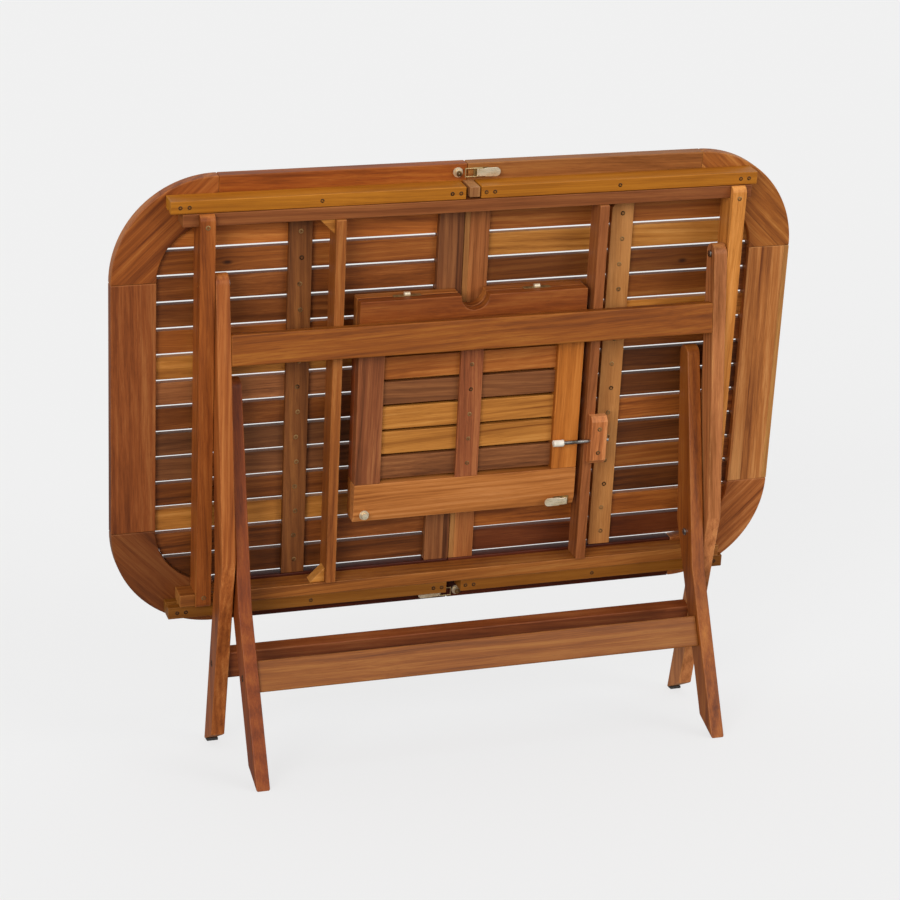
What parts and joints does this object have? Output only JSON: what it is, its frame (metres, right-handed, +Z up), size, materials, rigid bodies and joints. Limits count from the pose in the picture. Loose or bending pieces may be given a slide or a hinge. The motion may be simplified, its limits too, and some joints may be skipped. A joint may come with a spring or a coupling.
{
  "type": "folding garden table",
  "caption": "Folding, extending slatted hardwood garden table on crossed legs, stored upright with its folding extension leaf held under the top.",
  "frame": {"origin": "on the floor, under the middle of the whole bounding box", "axes": "+X along the table, -Y out of the underside of the folded top, +Z up"},
  "size_m": [1.2, 0.275, 1.0191],
  "materials": {
    "board_brown": "oiled acacia, mid brown",
    "board_red": "oiled acacia, red brown",
    "board_dark": "oiled acacia, dark heartwood with grey-purple streaks",
    "board_gold": "oiled acacia, golden sapwood",
    "slat_wood": "oiled acacia slats, varied",
    "guide_wood": "waxed ochre runner",
    "pale_wood": "pale sapwood",
    "leg_wood": "oiled acacia, eased edges",
    "aged_brass": "brassed steel, slightly aged",
    "bright_steel": "zinc plated",
    "cream_plastic": "cream cap"
  },
  "bodies": {
    "outer_frame": {"outer_leg_left": "leg_wood", "outer_leg_right": "leg_wood", "upper_stretcher": "leg_wood", "rear_stretcher": "leg_wood", "scissor_bolt_left": "bright_steel", "scissor_bolt_right": "bright_steel", "top_bolt_left": "bright_steel", "top_bolt_right": "bright_steel"},
    "inner_frame": {"inner_leg_left": "leg_wood", "inner_leg_right": "leg_wood", "front_stretcher": "leg_wood"},
    "underframe": {"rail_top": "board_red", "rail_bottom": "board_red", "cross_bar_left": "board_brown", "cross_bar_right": "board_gold", "leaf_rail_left": "board_brown", "leaf_rail_right": "board_red", "corner_block_top": "board_gold", "corner_block_bottom": "board_gold", "pin_block": "board_red", "leaf_top_rail": "board_brown", "leaf_bottom_rail": "board_gold", "leaf_stile_left": "board_dark", "leaf_stile_right": "board_gold", "leaf_slats": "slat_wood", "leaf_back_panel": "board_brown", "leaf_catch": "aged_brass", "leaf_latch_base": "aged_brass"},
    "left_half": {"left_end_board": "board_brown", "left_corner_top": "board_brown", "left_corner_bottom": "board_brown", "left_side_top": "board_red", "left_side_bottom": "board_red", "left_inner_end": "board_dark", "left_slats": "slat_wood", "left_guide_top": "guide_wood", "left_guide_bottom": "guide_wood", "catch_top": "aged_brass", "latch_base_bottom": "aged_brass"},
    "right_half": {"right_end_board": "board_brown", "right_corner_top": "board_brown", "right_corner_bottom": "board_brown", "right_side_top": "board_red", "right_side_bottom": "board_red", "right_inner_end": "board_red", "right_slats": "slat_wood", "right_guide_top": "guide_wood", "right_guide_bottom": "guide_wood", "guide_stop": "pale_wood", "latch_base_top": "aged_brass", "catch_bottom": "aged_brass"},
    "latch_top_lever": {"latch_lever_top": "aged_brass"},
    "latch_top_loop": {"latch_loop_top": "bright_steel"},
    "latch_bottom_lever": {"latch_lever_bottom": "aged_brass"},
    "latch_bottom_loop": {"latch_loop_bottom": "bright_steel"},
    "leaf_lever": {"leaf_latch_lever": "aged_brass"},
    "pin": {"retaining_pin": "bright_steel", "pin_cap": "cream_plastic"},
    "left_stay": {"stay_left": "bright_steel"},
    "right_stay": {"stay_right": "bright_steel"}
  },
  "joints": [
    {"name": "top_fold", "type": "hinge", "parent": "outer_frame", "child": "underframe", "pos_m": [0.011, -0.0175, 0.841], "axis": [1, 0, 0], "range_deg": [0, 57.3]},
    {"name": "leg_fold", "type": "hinge", "parent": "outer_frame", "child": "inner_frame", "pos_m": [0.011, 0.0025, 0.34], "axis": [1, 0, 0], "range_deg": [-48, 0]},
    {"name": "left_slide", "type": "slide", "parent": "underframe", "child": "left_half", "axis": [-1, 0, 0], "range_m": [0, 0.2]},
    {"name": "right_slide", "type": "slide", "parent": "underframe", "child": "right_half", "axis": [1, 0, 0], "range_m": [0, 0.2]},
    {"name": "latch_top_swing", "type": "hinge", "parent": "right_half", "child": "latch_top_lever", "pos_m": [0.017, -0.01205, 1.00107], "axis": [0, 0.1509, -0.9885], "range_deg": [0, 110]},
    {"name": "loop_top_swing", "type": "hinge", "parent": "latch_top_lever", "child": "latch_top_loop", "pos_m": [0.024, -0.01205, 1.00107], "axis": [0, -0.1509, 0.9885], "range_deg": [0, 110]},
    {"name": "latch_bottom_swing", "type": "hinge", "parent": "left_half", "child": "latch_bottom_lever", "pos_m": [-0.017, 0.10446, 0.23792], "axis": [0, -0.1509, 0.9885], "range_deg": [0, 110]},
    {"name": "loop_bottom_swing", "type": "hinge", "parent": "latch_bottom_lever", "child": "latch_bottom_loop", "pos_m": [-0.024, 0.10446, 0.23792], "axis": [0, 0.1509, -0.9885], "range_deg": [0, 110]},
    {"name": "leaf_latch_swing", "type": "hinge", "parent": "underframe", "child": "leaf_lever", "pos_m": [0.193, 0.0341, 0.40724], "axis": [0, -0.1509, 0.9885], "range_deg": [0, 110]},
    {"name": "pin_slide", "type": "slide", "parent": "underframe", "child": "pin", "axis": [1, 0, 0], "range_m": [0, 0.046]},
    {"name": "left_stay_swing", "type": "hinge", "parent": "underframe", "child": "left_stay", "pos_m": [-0.412, 0.03716, 0.48298], "axis": [1, 0, 0], "range_deg": [0, 99]},
    {"name": "right_stay_swing", "type": "hinge", "parent": "underframe", "child": "right_stay", "pos_m": [0.434, 0.03716, 0.48298], "axis": [1, 0, 0], "range_deg": [0, 99]}
  ],
  "couplings": [
    {"joint": "leg_fold", "follows": "top_fold", "ratio": -0.8376},
    {"joint": "loop_top_swing", "follows": "latch_top_swing", "ratio": 1},
    {"joint": "loop_bottom_swing", "follows": "latch_bottom_swing", "ratio": 1}
  ]
}
